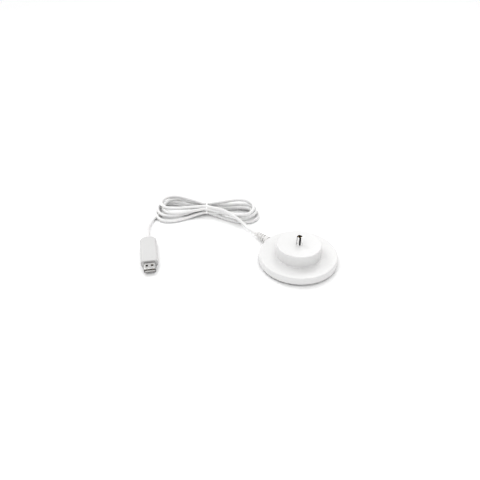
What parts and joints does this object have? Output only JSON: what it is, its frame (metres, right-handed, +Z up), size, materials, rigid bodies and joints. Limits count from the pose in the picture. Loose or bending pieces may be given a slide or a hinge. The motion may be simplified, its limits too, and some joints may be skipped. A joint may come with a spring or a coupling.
{
  "type": "toothbrush charging base",
  "caption": "Round two-step charging base with an upright metal contact pin, a ribbed strain relief and a tied white USB cable.",
  "frame": {"origin": "centre of the round base on the surface it stands on", "axes": "+Z up along the contact pin, +Y towards the cable exit"},
  "size_m": [0.1675, 0.2271, 0.0313],
  "materials": {
    "case_white": "satin-gloss moulded ABS",
    "case_white_under": "fine matt moulded ABS",
    "foot_rubber": "soft grey non-slip rubber",
    "seal_rubber": "soft silicone",
    "ballast_steel": "zinc-plated steel",
    "screw_steel": "zinc-plated steel",
    "pin_metal": "bright nickel plating",
    "pin_black": "black insulator",
    "contact_brass": "plated spring contact",
    "inner_plastic": "natural moulding",
    "board_green": "solder mask on glass laminate",
    "component_black": "moulded component bodies",
    "wire_red": "red insulation",
    "wire_black": "black insulation",
    "cord_white": "soft white cable sheath",
    "relief_white": "soft white moulding",
    "tie_white": "thin white band",
    "plug_white": "satin white moulding",
    "usb_metal": "nickel-plated steel sheet",
    "tongue_white": "white insulator",
    "contact_gold": "gold-plated contacts"
  },
  "bodies": {
    "root": {"top_shell": "case_white", "bottom_plate": "case_white_under", "foot_ring": "foot_rubber", "case_seal": "seal_rubber", "ballast_plate": "ballast_steel", "case_screws": "screw_steel", "contact_barrel": "pin_metal", "pin_insulator": "pin_black", "centre_contact": "contact_brass", "pin_seal": "seal_rubber", "pin_carrier": "inner_plastic", "contact_board": "board_green", "board_components": "component_black", "board_screws": "screw_steel", "wire_positive": "wire_red", "wire_negative": "wire_black", "cord_tail": "cord_white", "strain_relief": "relief_white", "cord_hank": "cord_white", "cord_tie": "tie_white", "cord_lead_base": "cord_white", "cord_lead_plug": "cord_white", "plug_overmould": "plug_white", "plug_inner_mould": "inner_plastic", "cord_end_plug": "cord_white", "usb_shell": "usb_metal", "usb_tongue": "tongue_white", "usb_contacts": "contact_gold"}
  },
  "joints": []
}
